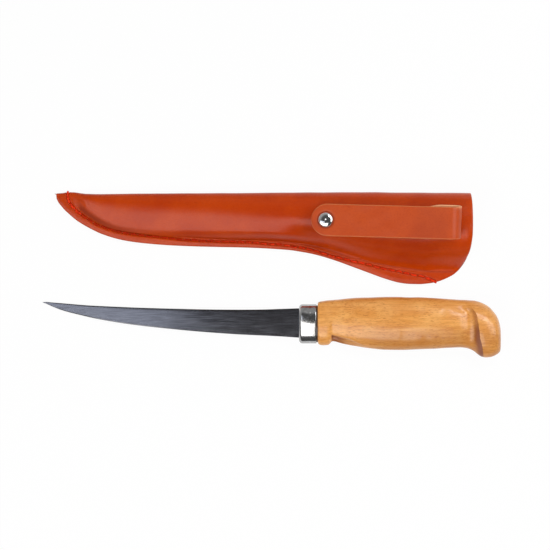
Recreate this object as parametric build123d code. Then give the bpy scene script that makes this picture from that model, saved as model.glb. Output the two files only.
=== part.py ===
"""Fillet knife lying beside its folded leather sheath. Lengths are in millimetres."""
import os
from math import asin, degrees, sqrt
from build123d import *

# The plan is given in pixels of the photo, x to the right and y down, and the blade gives the scale.
blade_length = 152.0
tip_px = 42.0
heel_px = 299.2
mm_per_px = blade_length / (heel_px - tip_px)
overrun = 30.0

# Knife, across the picture plane
blade_thickness = 1.8
tip_thickness = 0.9
edge_thickness = 0.1
bevel_height = 0.9
tang_height = 13.0
tang_length = 68.0
tang_clearance = 0.15
bedding_gap = 0.6
ferrule_thickness = 12.2
ferrule_wall = 1.2
ferrule_front_wall = 2.0
ferrule_rounding = 1.6
glue_gap = 0.1
collar_thickness = 13.4
handle_thickness = 17.0
butt_thickness = 18.6

# Knife outline in pixels
spine_px = [(42, 302.2), (56, 302.9), (74, 304.4), (100, 306.1), (140, 307.8), (200, 309.4),
            (250, 309.7), (299.2, 308.3)]
edge_px = [(42, 302.7), (46, 304.1), (56, 308.4), (70, 312.8), (90, 317.6), (120, 323.1), (160, 328),
           (200, 331.8), (250, 335.1), (299.2, 337.8)]
blade_steps = 16
point_crowding = 1.5
ferrule_px = (299.2, 316.8, 304.2, 343.5)

# Handle stations: x, top y and bottom y in pixels, share of the part's thickness
collar_stations_share = [(318.2, 302.3, 343.4, 0.93), (320.5, 301.5, 345, 0.99),
                         (327, 300.5, 345.3, 1.0), (330, 300.2, 344.2, 0.98), (332, 300.1, 341.4, 0.94)]
barrel_stations_share = [(326, 301.3, 340, 0.75), (340, 299.3, 343, 0.81), (354, 298, 345.9, 0.87),
                         (372, 297.1, 348.5, 0.94), (394, 296.9, 350, 1.0), (420, 297.2, 349.4, 1.0),
                         (446, 298.8, 348, 0.96), (464, 299.9, 347.5, 0.91), (483, 304.6, 348.5, 0.89)]
butt_stations_share = [(466, 299.4, 348.4, 0.97), (474, 300.3, 351.5, 1.0), (481, 302.3, 355.6, 1.0),
                       (487, 305.4, 357.4, 0.99), (491.5, 308.9, 356.9, 0.95), (495.5, 313.9, 355.2, 0.88),
                       (498.3, 319, 353.4, 0.77), (500.2, 325.5, 351.5, 0.6), (501.1, 333, 346, 0.25)]
crease_px = [(466, 294), (471, 306), (476.5, 314), (479.2, 328), (480.4, 338), (482.5, 347), (484, 362)]
belly_px = 394
oval_share = 0.62

# Sheath
leather = 2.0
leaf_gap = 0.25
valley_dip = 0.3
wedge_rise = 0.5
bulge_start_px = 82
pocket_play = 3.4
pocket_height = handle_thickness + pocket_play
flat_fold_px = 193.1
outline_px = [(55.7, 193.1), (56.6, 200), (61.2, 206), (66.9, 212), (81.8, 224), (107.3, 236),
              (133.6, 242), (170, 245.3), (240, 247.2), (290, 250.1), (320, 255.8), (350, 265.8),
              (380, 276.9), (400, 282.8), (420, 284.2), (440, 281.4), (454, 274.7), (462.4, 266),
              (468, 255), (471.2, 242), (472.1, 220), (471.9, 205), (470.8, 193.1)]

# Bulge stations: x, fold y, crest y and valley y in pixels, share of the pocket height
bulge_stations_share = [(76, 196, 198.5, 201.5, 0.02), (86, 194, 201.5, 212, 0.09),
                        (98, 193.9, 206, 220.5, 0.15), (115, 193.7, 211, 228.5, 0.2),
                        (135, 193.5, 214.5, 231.3, 0.24), (170, 193.2, 215.6, 232, 0.319),
                        (220, 193, 217, 232, 0.432), (268, 192.6, 218.4, 233.5, 0.541),
                        (314, 192.3, 219.7, 244, 0.645), (360, 192.1, 221.1, 260, 0.749),
                        (400, 192.5, 222.2, 267.5, 0.84), (440, 192.8, 223.4, 272, 0.93),
                        (482, 193, 224.6, 273, 1.025)]
round_share = 0.63
toe_share = 0.62
valley_ease_share = 0.21
crest_ease_share = 0.64
inner_ease_share = 0.65

# Seam
stitch_pitch = 4.5
thread_diameter = 0.9
leg_diameter = 0.7
turn_diameter = 1.2
groove_depth = 0.5
groove_width = 1.4
stitch_hole = 1.0
edge_turn_gap = 0.1
seam_px = [(67.3, 191.9), (67.2, 196), (69, 202), (73.6, 208), (82.5, 215), (92, 221.8), (107, 228.7),
           (125, 233), (152, 236.3), (187, 239.8), (214, 241.2), (250, 242.4), (277, 244.4),
           (307, 248.6), (330, 255.2), (352, 260.9), (371, 265.4), (389, 269.4), (405, 273),
           (422.5, 276.6), (431, 279.4), (437.5, 283.4)]

# Belt loop, laid on the crest from the snap to the fold
snap_px = (326.5, 220.1)
loop_fold_px = (461, 224)
loop_width = 19.0
loop_leather = 2.0
loop_end_reach = 8.6
fold_gap = 7.6
swivel_clearance = 0.3
leaf_split = 0.1
flat_end = 9.0

# Snap
post_diameter = 3.0
post_head_diameter = 9.0
post_head_height = 0.8
rivet_clearance = 0.1
stud_flange_diameter = 8.0
stud_flange_height = 0.5
stud_height = 2.8
stud_neck_diameter = 4.2
stud_head_diameter = 4.8
stud_head_height = 1.0
stud_head_bevel = 0.25
snap_play = 0.2
socket_web = 0.4
socket_diameter = 8.8
socket_lip = 0.5
socket_body_diameter = 7.8
socket_rise = 0.2
spring_wire = 0.5
spring_play = 0.12
spring_opening = 1.6
cap_diameter = 8.8
cap_height = 1.9
cap_rim = 0.5
shank_diameter = 2.6
shank_clearance = 0.05


def plan(x, y):
    """Millimetres of the plan for a pixel of the photo."""
    return x * mm_per_px, -y * mm_per_px


def curve(points, height=0):
    """Spline through pixels of the photo, laid flat at a height."""
    return Edge.make_spline([Vector(*plan(x, y), height) for x, y in points])


def slab(edges, bottom, top):
    """Upright prism on a closed flat outline."""
    return Pos(0, 0, bottom) * extrude(Face(Wire(edges)), top - bottom, dir=(0, 0, 1))


def across(x, y, z):
    """Point of a section, with x in pixels and y and z in millimetres."""
    return Vector(x * mm_per_px, y, z)


# Knife, built on its own middle plane

def oval(x, top, bottom, half_thickness, inset=0):
    """Full oval section of the handle, smaller all round by an inset."""
    high = plan(0, top)[1] - inset
    low = plan(0, bottom)[1] + inset
    side = half_thickness - inset
    middle = (high + low) / 2
    reach = (high - low) / 2
    edges = []
    for up, out in [(1, 1), (-1, 1), (-1, -1), (1, -1)]:
        end = across(x, middle + up * reach, 0)
        flank = across(x, middle, out * side)
        end_pull = across(x, middle + up * reach, out * side * oval_share)
        flank_pull = across(x, middle + up * reach * oval_share, out * side)
        points = [end, end_pull, flank_pull, flank]
        edges.append(Edge.make_bezier(*(points if up == out else reversed(points))))
    return Wire(edges)


def station_loft(stations, thickness):
    sections = [oval(x, top, bottom, share * thickness / 2) for x, top, bottom, share in stations]
    return Solid.make_loft(sections)


def blade_section(share):
    """Six-sided section with a small bevel along the edge, at a share of the blade's length."""
    half = (tip_thickness + (blade_thickness - tip_thickness) * share) / 2
    top = curve(spine_px).position_at(share)
    bottom = curve(edge_px).position_at(share)
    across_blade = top - bottom
    bevel = bottom + across_blade.normalized() * min(bevel_height, across_blade.length / 2)
    keen = edge_thickness / 2
    corners = [(top, half), (bevel, half), (bottom, keen), (bottom, -keen), (bevel, -half), (top, -half)]
    return Wire.make_polygon([Vector(point.X, point.Y, side) for point, side in corners])


def tang_box(grow, front_reach, back_reach):
    """Block round the tang, larger by a clearance and by a reach at each end."""
    length = tang_length + front_reach + back_reach
    middle_y = plan(0, (ferrule_px[2] + ferrule_px[3]) / 2)[1]
    start = heel_px * mm_per_px - front_reach
    return Pos(start + length / 2, middle_y, 0) * Box(
        length, tang_height + 2 * grow, blade_thickness + 2 * grow)


def make_blade():
    sections = [blade_section((step / blade_steps) ** point_crowding) for step in range(blade_steps + 1)]
    body = Solid.make_loft(sections, ruled=True)
    return body + tang_box(0, 0, 0)


def ferrule_block(inset, start, end):
    front, back, top, bottom = ferrule_px
    face = Face(oval(front, top, bottom, ferrule_thickness / 2, inset))
    return Pos(start, 0, 0) * extrude(face, end - start, dir=(1, 0, 0))


def make_ferrule():
    depth = (ferrule_px[1] - ferrule_px[0]) * mm_per_px
    shell = ferrule_block(0, 0, depth)
    rim = shell.faces().sort_by(Axis.X)[0].edges()
    shell = fillet(rim, ferrule_rounding)
    shell -= ferrule_block(ferrule_wall, ferrule_front_wall, depth + overrun)
    return shell - tang_box(tang_clearance, overrun, 0)


def make_butt():
    body = station_loft(butt_stations_share, butt_thickness)
    far = butt_stations_share[-1][0] + overrun
    corners = [crease_px[-1], (far, crease_px[-1][1]), (far, crease_px[0][1]), crease_px[0]]
    edges = [curve(crease_px)]
    for start, end in zip(corners, corners[1:]):
        edges.append(Edge.make_line(Vector(*plan(*start)), Vector(*plan(*end))))
    return body & slab(edges, -butt_thickness, butt_thickness)


def make_handle():
    collar_start = (collar_stations_share[0][0] - ferrule_px[0]) * mm_per_px
    tenon = ferrule_block(ferrule_wall + glue_gap, ferrule_front_wall + glue_gap, collar_start)
    collar = station_loft(collar_stations_share, collar_thickness)
    barrel = station_loft(barrel_stations_share, handle_thickness)
    wood = barrel + collar + make_butt() + tenon
    return wood - tang_box(bedding_gap, overrun, bedding_gap)


def make_bedding():
    """Filling between the tang and its bore in the wood."""
    start = ferrule_front_wall + glue_gap
    fill = tang_box(bedding_gap, 0, bedding_gap) - tang_box(0, overrun, 0)
    cut_end = heel_px * mm_per_px + start
    return fill & Pos(cut_end + overrun * 2, plan(0, heel_px)[1], 0) * Box(
        overrun * 4, overrun * 4, overrun)


def knife_pose():
    """Tips the knife so that its point and its belly both lie on the floor."""
    rise = (handle_thickness - tip_thickness) / 2
    angle = degrees(asin(rise / ((belly_px - tip_px) * mm_per_px)))
    point = tip_px * mm_per_px
    return Pos(point, 0, 0) * Rot(0, -angle, 0) * Pos(-point, 0, 0)


# Sheath

def crest_height(x):
    """Height of the sheath's outside at its crest, for a pixel column."""
    for low, high in zip(bulge_stations_share, bulge_stations_share[1:]):
        if low[0] <= x <= high[0]:
            share = low[4] + (high[4] - low[4]) * (x - low[0]) / (high[0] - low[0])
    return 2 * leather + pocket_height * share


def bulge_section(station, inset):
    """Section of the bulge, outside with no inset and inside with the leather as inset."""
    x, fold, crest, valley, share = station
    fold_y = plan(0, fold)[1] - inset
    crest_y = plan(0, crest)[1]
    valley_y = plan(0, valley)[1]
    outside = crest_height(x)
    toe_y = plan(0, fold)[1] - outside * toe_share
    top = outside - inset
    middle = outside / 2
    seam = leather + leaf_gap / 2 if inset else 2 * leather - valley_dip
    pull = seam + wedge_rise if inset else seam
    run = crest_y - valley_y
    ease = inset * inner_ease_share * share
    k = round_share
    roof = [(crest_y, top), (crest_y + k * (fold_y - crest_y), top),
            (fold_y, middle + k * (top - middle)), (fold_y, middle)]
    under = [(fold_y, middle), (fold_y, middle - k * (middle - inset)),
             (toe_y + k * (fold_y - toe_y), inset), (toe_y, inset)]
    flank = [(valley_y, seam), (valley_y + run * valley_ease_share + ease, pull),
             (crest_y - run * crest_ease_share + ease, top), (crest_y, top)]
    edges = [Edge.make_bezier(*[across(x, y, z) for y, z in roof]),
             Edge.make_bezier(*[across(x, y, z) for y, z in under]),
             Edge.make_line(across(x, toe_y, inset), across(x, valley_y, inset)),
             Edge.make_line(across(x, valley_y, inset), across(x, valley_y, seam)),
             Edge.make_bezier(*[across(x, y, z) for y, z in flank])]
    return Wire(edges)


def outline_slab(top_pixels, bottom, top):
    """Prism on the outline of the sheath, closed along pixels above it."""
    corners = [outline_px[-1]] + top_pixels + [outline_px[0]]
    edges = [curve(outline_px)]
    for start, end in zip(corners, corners[1:]):
        if start != end:
            edges.append(Edge.make_line(Vector(*plan(*start)), Vector(*plan(*end))))
    return slab(edges, bottom, top)


def mouth_rows():
    above = flat_fold_px - overrun
    return [(outline_px[-1][0], above), (outline_px[0][0], above)]


def flat_leaves():
    """Both leaves pressed flat outside the bulge, with a round fold at the point."""
    core = [(x, (crest + valley) / 2) for x, fold, crest, valley, share in bulge_stations_share
            if x > bulge_start_px]
    above = flat_fold_px - overrun
    core = [(bulge_start_px, core[0][1])] + core + [(core[-1][0], above), (bulge_start_px, above)]
    core_face = make_face(Polyline([plan(*point) for point in core], close=True))
    left = outline_px[0][0] * mm_per_px - overrun
    length = bulge_start_px * mm_per_px - left
    fold_y = plan(0, flat_fold_px)[1]
    corner = Pos(left + length / 2, fold_y, leather) * Box(length, 2 * leather, 2 * leather)
    fold = Pos(left + length / 2, fold_y - leather, leather) * Rot(0, 90, 0) * Cylinder(leather, length)
    flat = outline_slab([], 0, 2 * leather) - (corner - fold)
    return flat - Pos(0, 0, -leather) * extrude(core_face, 4 * leather)


def seam_path(height):
    return curve(seam_px, height)


def stitch_places():
    """Places of the stitch holes along the seam, evenly spaced."""
    path = seam_path(0)
    count = int(path.length / stitch_pitch)
    places = []
    for index in range(count):
        place = path.position_at((index + 1 / 2) / count)
        places.append((place.X, place.Y))
    return places


def seam_cord(height):
    path = seam_path(height)
    start = Plane(origin=path.position_at(0), x_dir=(0, 0, 1), z_dir=path.tangent_at(0))
    return sweep(start * Circle(thread_diameter / 2), path=path)


def seam_groove(bottom, top):
    """Upright-walled groove that follows the seam."""
    path = seam_path(0)
    steps = 2 * len(seam_px)
    sides = []
    for side in (1, -1):
        points = []
        for step in range(steps + 1):
            ahead = path.tangent_at(step / steps)
            out = Vector(-ahead.Y, ahead.X) * (side * groove_width / 2)
            points.append(path.position_at(step / steps) + out)
        sides.append(points)
    left, right = sides
    edges = [Edge.make_spline(left), Edge.make_line(left[-1], right[-1]),
             Edge.make_spline(right), Edge.make_line(right[0], left[0])]
    return slab(edges, bottom, top)


def upright(place, diameter, bottom, top):
    middle = (bottom + top) / 2
    return Pos(place[0], place[1], middle) * Cylinder(diameter / 2, top - bottom)


def make_sheath():
    outside = Solid.make_loft([bulge_section(row, 0) for row in bulge_stations_share])
    outside &= outline_slab(mouth_rows(), -overrun, overrun)
    skin = flat_leaves() + outside
    skin -= Solid.make_loft([bulge_section(row, leather) for row in bulge_stations_share[1:]])
    slit_row = flat_fold_px + leather / mm_per_px
    left = outline_px[0][0] * mm_per_px - overrun
    width = outline_px[-1][0] * mm_per_px - left + overrun
    slit_y = plan(0, slit_row)[1]
    skin -= Pos(left + width / 2, slit_y - overrun * 3, leather + leaf_gap / 2) * Box(
        width, overrun * 6, leaf_gap)
    skin -= seam_groove(2 * leather - groove_depth, 3 * leather)
    skin -= seam_groove(-leather, thread_diameter + 2 * edge_turn_gap)
    skin -= [upright(place, stitch_hole, 0, 2 * leather) for place in stitch_places()]
    return skin - in_loop(post_hole_cuts())


def make_front_thread():
    top = 2 * leather + thread_diameter / 2 - groove_depth
    low = thread_diameter / 2 + edge_turn_gap
    legs = [upright(place, leg_diameter, leather + leaf_gap / 2, top) for place in stitch_places()]
    path = seam_path(0)
    ends = [path.position_at(0), path.position_at(1)]
    turns = [upright((end.X, end.Y), turn_diameter, low, top) for end in ends]
    return seam_cord(top) + legs + turns


def make_back_thread():
    bottom = thread_diameter / 2 + edge_turn_gap
    path = seam_path(bottom)
    ends = [path.position_at(0), path.position_at(1)]
    clear = turn_diameter + 2 * edge_turn_gap
    cord = seam_cord(bottom) - [upright((end.X, end.Y), clear, 0, leather) for end in ends]
    legs = [upright(place, leg_diameter, bottom, leather + leaf_gap / 2 - edge_turn_gap)
            for place in stitch_places()]
    return cord + legs


# Belt loop, built flat with the snap at the origin and the fold along x

def loop_place():
    start = Vector(*plan(*snap_px), crest_height(snap_px[0]))
    end = Vector(*plan(*loop_fold_px), crest_height(loop_fold_px[0]))
    along = end - start
    side = Vector(0, 0, 1).cross(along)
    return Plane(origin=start, x_dir=along, z_dir=along.cross(side))


def in_loop(shape):
    return loop_place().location * shape


def loop_sizes():
    """Named heights of the loop over the sheath and the middle of its fold."""
    start = Vector(*plan(*snap_px), crest_height(snap_px[0]))
    end = Vector(*plan(*loop_fold_px), crest_height(loop_fold_px[0]))
    outer = fold_gap / 2 + loop_leather
    back_top = swivel_clearance + loop_leather
    stud_top = back_top + swivel_clearance + stud_height
    return {"outer": outer, "centre_x": (end - start).length - outer,
            "centre_z": swivel_clearance + outer, "back_top": back_top, "stud_top": stud_top,
            "front_bottom": stud_top + snap_play + socket_web}


def strip(edges):
    """Strap piece from its side outline, cut to the rounded end of the strap."""
    radius = loop_width / 2
    face = Face(Wire(edges))
    body = extrude(face, radius, both=True, dir=(0, 1, 0))
    reach = loop_sizes()["centre_x"] + loop_leather * 2 + fold_gap
    height = fold_gap * 2 + loop_leather * 4
    end_x = radius - loop_end_reach
    cover = Pos(end_x + reach / 2, 0, 0) * Box(reach, loop_width, height * 2)
    return body & (cover + Pos(end_x, 0, 0) * Cylinder(radius, height * 2))


def side_point(x, z):
    return Vector(x, 0, z)


def side_line(*points):
    points = [side_point(*point) for point in points]
    return [Edge.make_line(start, end) for start, end in zip(points, points[1:])]


def fold_arc(radius, up):
    """Quarter of the fold from the strap to the split at its apex."""
    size = loop_sizes()
    x = size["centre_x"]
    z = size["centre_z"]
    split = up * leaf_split / 2
    halfway = radius / sqrt(2)
    end_x = sqrt(radius ** 2 - split ** 2)
    middle = side_point(x + halfway, z + up * halfway)
    return Edge.make_three_point_arc(
        side_point(x, z + up * radius), middle, side_point(x + end_x, z + split))


def make_loop_back():
    size = loop_sizes()
    x = size["centre_x"]
    outer = size["outer"]
    inner = outer - loop_leather
    bottom = swivel_clearance
    top = size["back_top"]
    outer_arc = fold_arc(outer, -1)
    inner_arc = fold_arc(inner, -1)
    edges = side_line((x, top), (-loop_end_reach, top), (-loop_end_reach, bottom), (x, bottom))
    edges += [outer_arc, Edge.make_line(outer_arc.position_at(1), inner_arc.position_at(1)), inner_arc]
    hole = post_diameter + 2 * swivel_clearance
    return strip(edges) - upright((0, 0), hole, 0, top + loop_leather)


def make_loop_front():
    size = loop_sizes()
    x = size["centre_x"]
    outer = size["outer"]
    inner = outer - loop_leather
    bottom = size["front_bottom"]
    top = bottom + loop_leather
    fold_low = size["centre_z"] + inner
    fold_high = size["centre_z"] + outer
    outer_arc = fold_arc(outer, 1)
    inner_arc = fold_arc(inner, 1)
    ahead = [(1, 0, 0), (1, 0, 0)]
    lower = Edge.make_spline([side_point(flat_end, bottom), side_point(x, fold_low)], tangents=ahead)
    upper = Edge.make_spline([side_point(flat_end, top), side_point(x, fold_high)], tangents=ahead)
    edges = side_line((flat_end, bottom), (-loop_end_reach, bottom), (-loop_end_reach, top),
                      (flat_end, top))
    edges += [upper, outer_arc, Edge.make_line(outer_arc.position_at(1), inner_arc.position_at(1)),
              inner_arc, lower]
    hole = shank_diameter + 2 * rivet_clearance
    return strip(edges) - upright((0, 0), hole, bottom - loop_leather, top + loop_leather)


# Snap, on the same frame as the belt loop

def turned(points):
    """Solid of revolution about the snap's axis from radius and height."""
    line = Wire.make_polygon([side_point(radius, height) for radius, height in points])
    return revolve(Face(line), axis=Axis.Z)


def post_hole_cuts():
    hole = upright((0, 0), post_diameter + 2 * rivet_clearance, -2 * leather, leather)
    seat_diameter = post_head_diameter + 2 * rivet_clearance
    return hole + upright((0, 0), seat_diameter, -leather - post_head_height * 2, -leather)


def make_post():
    top = loop_sizes()["stud_top"] - rivet_clearance
    head = upright((0, 0), post_head_diameter, -leather - post_head_height, -leather)
    return head + upright((0, 0), post_diameter, -leather - post_head_height / 2, top)


def make_stud():
    size = loop_sizes()
    bottom = size["back_top"] + swivel_clearance
    top = size["stud_top"]
    bore = post_diameter / 2 + shank_clearance
    neck = stud_neck_diameter / 2
    head = stud_head_diameter / 2
    flange_top = bottom + stud_flange_height
    head_low = top - stud_head_height
    return turned([(bore, bottom), (stud_flange_diameter / 2, bottom),
                   (stud_flange_diameter / 2, flange_top), (neck, flange_top),
                   (neck, head_low), (head, head_low + stud_head_bevel),
                   (head, top - stud_head_bevel), (neck, top), (bore, top)])


def socket_bore():
    return stud_head_diameter / 2 + snap_play


def spring_radius():
    return stud_head_diameter / 2 + spring_play + spring_wire / 2


def spring_height():
    return loop_sizes()["stud_top"] - stud_head_height - spring_wire / 2


def make_socket():
    size = loop_sizes()
    top = size["front_bottom"]
    bottom = size["back_top"] + swivel_clearance + stud_flange_height + socket_rise
    web = top - socket_web
    bore = socket_bore()
    groove = spring_radius() + spring_wire / 2 + shank_clearance
    low = spring_height() - spring_wire / 2 - shank_clearance
    high = spring_height() + spring_wire / 2 + shank_clearance
    hole = shank_diameter / 2 + shank_clearance
    body = socket_body_diameter / 2
    return turned([(hole, top), (socket_diameter / 2, top), (socket_diameter / 2, top - socket_lip),
                   (body, top - socket_lip), (body, bottom), (bore, bottom), (bore, low),
                   (groove, low), (groove, high), (bore, high), (bore, web), (hole, web)])


def make_spring():
    ring = Torus(spring_radius(), spring_wire / 2)
    gap = Pos(-spring_radius(), 0, 0) * Box(spring_radius(), spring_opening, spring_wire * 2)
    return Pos(0, 0, spring_height()) * (ring - gap)


def make_cap():
    bottom = loop_sizes()["front_bottom"] + loop_leather
    radius = cap_diameter / 2
    rim = bottom + cap_rim
    crown = bottom + cap_height
    dome = Edge.make_bezier(side_point(radius, rim), side_point(radius * oval_share, crown),
                            side_point(0, crown))
    sides = side_line((0, crown), (0, bottom), (radius, bottom), (radius, rim))
    face = Face(Wire(sides + [dome]))
    end = loop_sizes()["front_bottom"] - socket_web
    return revolve(face, axis=Axis.Z) + upright((0, 0), shank_diameter, end, bottom + cap_rim)


def on_floor(pieces):
    """Moves a group down or up until its lowest point is on the floor."""
    drop = min(piece.bounding_box().min.Z for piece in pieces.values())
    return {name: Pos(0, 0, -drop) * piece for name, piece in pieces.items()}


def knife_pieces():
    pieces = {"blade": make_blade(), "ferrule": make_ferrule(), "handle": make_handle(),
              "tang_epoxy": make_bedding()}
    return {name: knife_pose() * piece for name, piece in pieces.items()}


def sheath_pieces():
    pieces = {"belt_loop_back": make_loop_back(), "belt_loop_front": make_loop_front(),
              "snap_post": make_post(), "snap_stud": make_stud(), "snap_socket": make_socket(),
              "socket_spring": make_spring(), "snap_cap": make_cap()}
    pieces = {name: in_loop(piece) for name, piece in pieces.items()}
    pieces["sheath_leather"] = make_sheath()
    pieces["seam_thread_front"] = make_front_thread()
    pieces["seam_thread_back"] = make_back_thread()
    return pieces


def frame_shift(pieces):
    """Move that brings the middle of the whole part's box over the origin."""
    boxes = [piece.bounding_box() for piece in pieces.values()]
    middle_x = (min(box.min.X for box in boxes) + max(box.max.X for box in boxes)) / 2
    middle_y = (min(box.min.Y for box in boxes) + max(box.max.Y for box in boxes)) / 2
    return Pos(-middle_x, -middle_y, 0)


def all_pieces():
    pieces = on_floor(knife_pieces())
    pieces.update(sheath_pieces())
    shift = frame_shift(pieces)
    return {name: shift * piece for name, piece in pieces.items()}


def main():
    os.makedirs("parts", exist_ok=True)
    for name, piece in all_pieces().items():
        piece.label = name
        export_step(piece, f"parts/{name}.step")


main()
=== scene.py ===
import math
import bmesh
import bpy
import numpy as np
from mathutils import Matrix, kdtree


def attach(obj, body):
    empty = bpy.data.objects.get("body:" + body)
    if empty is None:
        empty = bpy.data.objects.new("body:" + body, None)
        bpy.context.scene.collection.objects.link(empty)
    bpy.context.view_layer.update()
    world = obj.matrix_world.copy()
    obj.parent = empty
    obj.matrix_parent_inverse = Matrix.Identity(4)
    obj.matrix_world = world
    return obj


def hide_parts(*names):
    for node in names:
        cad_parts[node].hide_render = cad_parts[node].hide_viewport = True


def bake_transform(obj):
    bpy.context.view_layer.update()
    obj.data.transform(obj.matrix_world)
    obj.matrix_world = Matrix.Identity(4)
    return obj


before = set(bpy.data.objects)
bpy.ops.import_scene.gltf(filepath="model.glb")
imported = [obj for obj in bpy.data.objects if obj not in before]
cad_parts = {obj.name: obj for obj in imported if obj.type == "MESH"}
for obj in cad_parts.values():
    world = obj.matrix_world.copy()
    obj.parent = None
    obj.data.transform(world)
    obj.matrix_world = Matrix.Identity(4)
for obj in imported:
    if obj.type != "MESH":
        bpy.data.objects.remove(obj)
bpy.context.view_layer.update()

# Plan of the part: pixels of the photo to metres of the row frame, with the blade's length as scale
TIP_PX, HEEL_PX = 42.0, 299.2
BLADE_LENGTH = 0.152
PX = BLADE_LENGTH / (HEEL_PX - TIP_PX)
X0, Y0 = 0.1604152, 0.1620198
MM = 0.001
rng = np.random.default_rng(7)


def wx(x):
    return np.asarray(x, float) * PX - X0


def wy(y):
    return Y0 - np.asarray(y, float) * PX


def x_px(x):
    """Pixel column of an x in mm."""
    return (x * MM + X0) / PX


def y_px(y):
    """Pixel row of a y in mm."""
    return (Y0 - y * MM) / PX


# Curves and meshes

def ease(t):
    """Smooth step from 0 to 1."""
    t = np.clip(t, 0, 1)
    return t * t * (3 - 2 * t)


def along(points):
    """Length along a line up to each of its points."""
    return np.concatenate([[0], np.cumsum(np.linalg.norm(np.diff(points, axis=0), axis=1))])


def unit(vectors):
    """Vectors along the last axis, each made one long."""
    return vectors / np.maximum(np.linalg.norm(vectors, axis=-1, keepdims=True), 1e-9)


def smooth(table, column, at):
    """Monotone cubic through one column of a table, whose first column is where."""
    table = np.array(table, float)
    x, y = table[:, 0], table[:, column]
    h = np.diff(x)
    d = np.diff(y) / h
    m = np.zeros_like(y)
    m[0], m[-1] = d[0], d[-1]
    same = d[:-1] * d[1:] > 0
    w1, w2 = 2 * h[1:] + h[:-1], h[1:] + 2 * h[:-1]
    with np.errstate(divide="ignore", invalid="ignore"):
        m[1:-1] = np.where(same, (w1 + w2) / (w1 / d[:-1] + w2 / d[1:]), 0)
    at = np.clip(np.asarray(at, float), x[0], x[-1])
    i = np.clip(np.searchsorted(x, at) - 1, 0, len(h) - 1)
    t = (at - x[i]) / h[i]
    return ((2 * t**3 - 3 * t**2 + 1) * y[i] + (t**3 - 2 * t**2 + t) * h[i] * m[i]
            + (3 * t**2 - 2 * t**3) * y[i + 1] + (t**3 - t**2) * h[i] * m[i + 1])


def spline(points, count):
    """Evenly spaced points on a natural cubic spline."""
    p = np.array(points, float)
    s = along(p)
    n = len(s)
    h = np.diff(s)
    a = np.eye(n)
    b = np.zeros_like(p)
    for i in range(1, n - 1):
        a[i, i - 1:i + 2] = h[i - 1], 2 * (h[i - 1] + h[i]), h[i]
        b[i] = 6 * ((p[i + 1] - p[i]) / h[i] - (p[i] - p[i - 1]) / h[i - 1])
    m = np.linalg.solve(a, b)
    t = np.linspace(0, s[-1], count * 6)
    i = np.clip(np.searchsorted(s, t) - 1, 0, n - 2)
    u, v = (s[i + 1] - t)[:, None], (t - s[i])[:, None]
    k = h[i][:, None]
    q = (m[i] * u**3 + m[i + 1] * v**3) / (6 * k) + (p[i] / k - m[i] * k / 6) * u + (
        p[i + 1] / k - m[i + 1] * k / 6) * v
    r = along(q)
    even = np.linspace(0, r[-1], count)
    return np.stack([np.interp(even, r, q[:, c]) for c in range(q.shape[1])], 1)


def mesh_object(name, verts, faces, material):
    mesh = bpy.data.meshes.new(name)
    mesh.from_pydata([tuple(map(float, v)) for v in verts], [], faces)
    mesh.validate()
    mesh.update()
    mesh.materials.append(material)
    mesh.polygons.foreach_set("use_smooth", [True] * len(mesh.polygons))
    obj = bpy.data.objects.new(name, mesh)
    bpy.context.scene.collection.objects.link(obj)
    return obj


def point_values(obj, name, values):
    attribute = obj.data.attributes.new(name, "FLOAT", "POINT")
    attribute.data.foreach_set("value", np.asarray(values, np.float32))


def grid_faces(rows, columns, closed=False, start=0, flip=False):
    faces = []
    for i in range(rows - 1):
        for j in range(columns if closed else columns - 1):
            k = (j + 1) % columns
            quad = (start + i * columns + j, start + i * columns + k,
                    start + (i + 1) * columns + k, start + (i + 1) * columns + j)
            faces.append(quad[::-1] if flip else quad)
    return faces


def tube_faces(rows, sides, start=0):
    """Faces of a closed tube of rings, with its two ends."""
    ends = [tuple(range(start, start + sides))[::-1],
            tuple(range(start + (rows - 1) * sides, start + rows * sides))]
    return grid_faces(rows, sides, closed=True, start=start) + ends


def tube(path, radii, sides, twist=0.0, ply=0.0, squash=1.0):
    """Points of the rings round a path, with a twisted thread's ridges if ply is above zero."""
    path = np.asarray(path, float)
    ahead = unit(np.gradient(path, axis=0))
    side = np.cross(ahead, (0.0, 0.0, 1.0))
    weak = np.linalg.norm(side, axis=1) < 0.05
    if weak.any():
        good = np.where(~weak)[0]
        for i in np.where(weak)[0]:
            side[i] = side[good[np.argmin(abs(good - i))]] if len(good) else (0, 1, 0)
    side = unit(side)
    over = np.cross(side, ahead)
    length = along(path)
    angle = np.linspace(0, 2 * np.pi, sides, endpoint=False)
    rings = []
    for i, point in enumerate(path):
        r = radii[i] * (1 + ply * np.cos(3 * angle + twist * length[i]))
        rings.append(point + side[i] * (r * np.cos(angle))[:, None]
                     + over[i] * (r * squash * np.sin(angle))[:, None])
    return np.concatenate(rings)


# Materials

def feed(tree, socket, value):
    """Links a node's output to a socket, or sets the socket to a plain value."""
    if isinstance(value, bpy.types.NodeSocket):
        tree.links.new(value, socket)
    else:
        socket.default_value = value


def map_range(tree, value, low, high, to_low, to_high):
    """Smooth step of a value, from one range to another."""
    node = tree.nodes.new("ShaderNodeMapRange")
    node.interpolation_type = "SMOOTHSTEP"
    ends = {"From Min": low, "From Max": high, "To Min": to_low, "To Max": to_high}
    for name, item in {"Value": value, **ends}.items():
        feed(tree, node.inputs[name], item)
    return node.outputs["Result"]


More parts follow.
